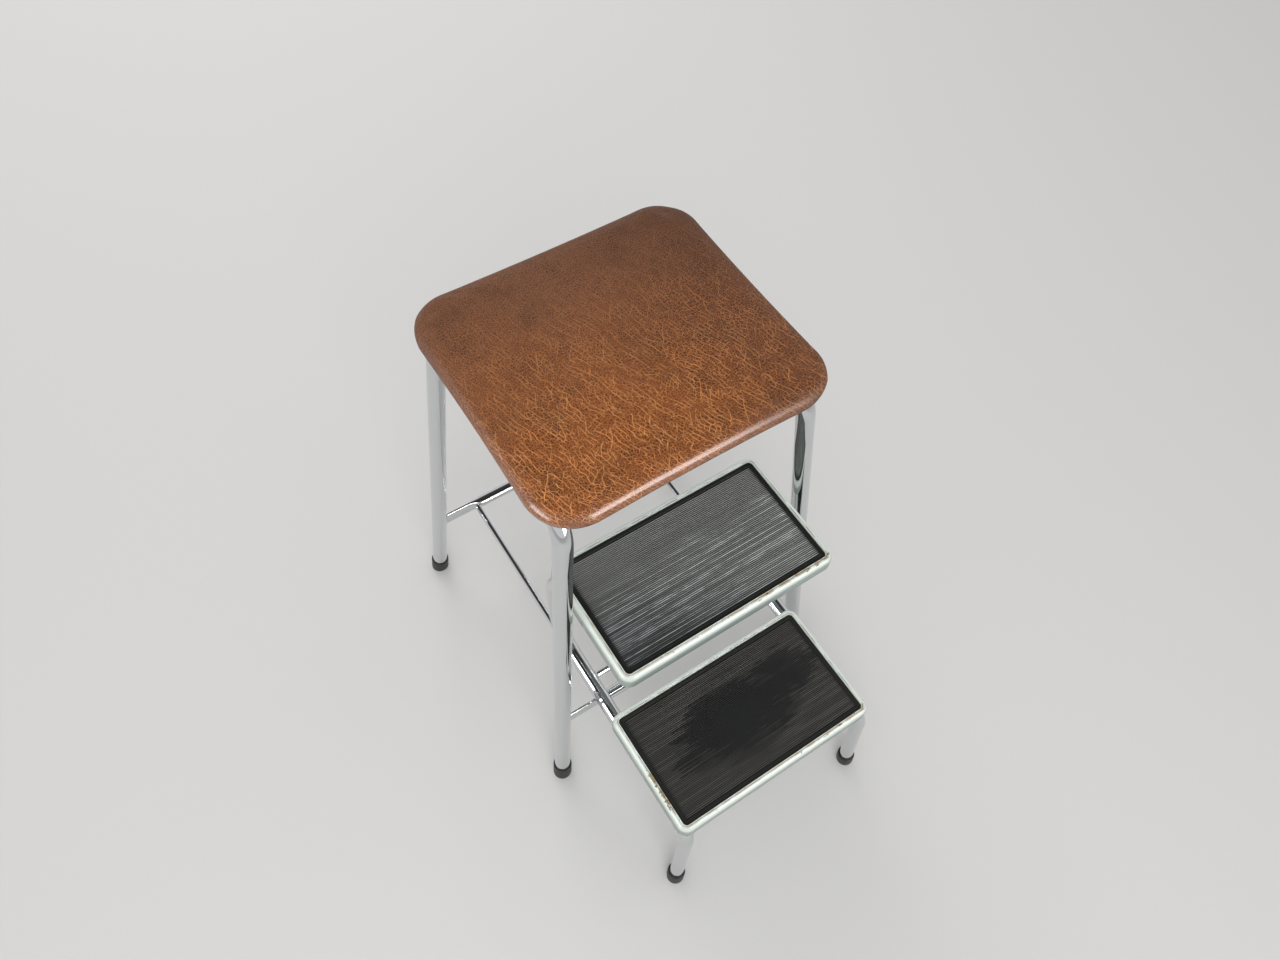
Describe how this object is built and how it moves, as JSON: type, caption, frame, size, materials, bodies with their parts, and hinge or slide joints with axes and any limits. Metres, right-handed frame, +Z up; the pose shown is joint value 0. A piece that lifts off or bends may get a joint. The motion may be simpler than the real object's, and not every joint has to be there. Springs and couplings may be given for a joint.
{
  "type": "folding step stool chair",
  "caption": "Padded kitchen stool on splayed chrome tube legs, with a pull-out unit of ribbed rubber steps that slides away under the seat on guide rods.",
  "frame": {"origin": "on the floor, under the middle of the plan of the open stool", "axes": "+Z up, the steps come out towards -Y, +X to the right seen from the steps' side; mirror symmetric about X = 0"},
  "size_m": [0.4418, 0.6186, 0.631],
  "materials": {
    "seat_cover": "satin leatherette with a crackled grain",
    "seat_board": "raw plywood",
    "chrome": "bright plated",
    "zinc": "zinc plated",
    "tray_enamel": "pale stoved enamel, worn along the front rims",
    "lower_mat_rubber": "ribbed, worn smooth in the middle",
    "upper_mat_rubber": "ribbed, greyed along the ribs",
    "cap_rubber": "matt moulded"
  },
  "bodies": {
    "frame": {"seat_pad": "seat_cover", "seat_board": "seat_board", "seat_screw_front_left": "zinc", "seat_screw_rear_left": "zinc", "seat_screw_front_right": "zinc", "seat_screw_rear_right": "zinc", "side_frame_left": "chrome", "side_frame_right": "chrome", "front_crossbar": "chrome", "rear_crossbar": "chrome", "guide_rod_left": "chrome", "guide_rod_right": "chrome", "leg_cap_front_left": "cap_rubber", "leg_cap_front_right": "cap_rubber", "leg_cap_rear_left": "cap_rubber", "leg_cap_rear_right": "cap_rubber"},
    "step_unit": {"step_tube_left": "chrome", "step_tube_right": "chrome", "tie_rod": "chrome", "front_guide_eye_left": "chrome", "front_guide_eye_right": "chrome", "rear_guide_eye_left": "chrome", "rear_guide_eye_right": "chrome", "lower_tray": "tray_enamel", "upper_tray": "tray_enamel", "lower_mat": "lower_mat_rubber", "upper_mat": "upper_mat_rubber", "lower_rivet_front_left": "zinc", "lower_rivet_rear_left": "zinc", "lower_rivet_front_right": "zinc", "lower_rivet_rear_right": "zinc", "upper_rivet_front_left": "zinc", "upper_rivet_rear_left": "zinc", "upper_rivet_front_right": "zinc", "upper_rivet_rear_right": "zinc", "step_cap_left": "cap_rubber", "step_cap_right": "cap_rubber"}
  },
  "joints": [
    {"name": "step_slide", "type": "slide", "parent": "frame", "child": "step_unit", "axis": [0, 1, 0], "range_m": [0, 0.19]}
  ]
}
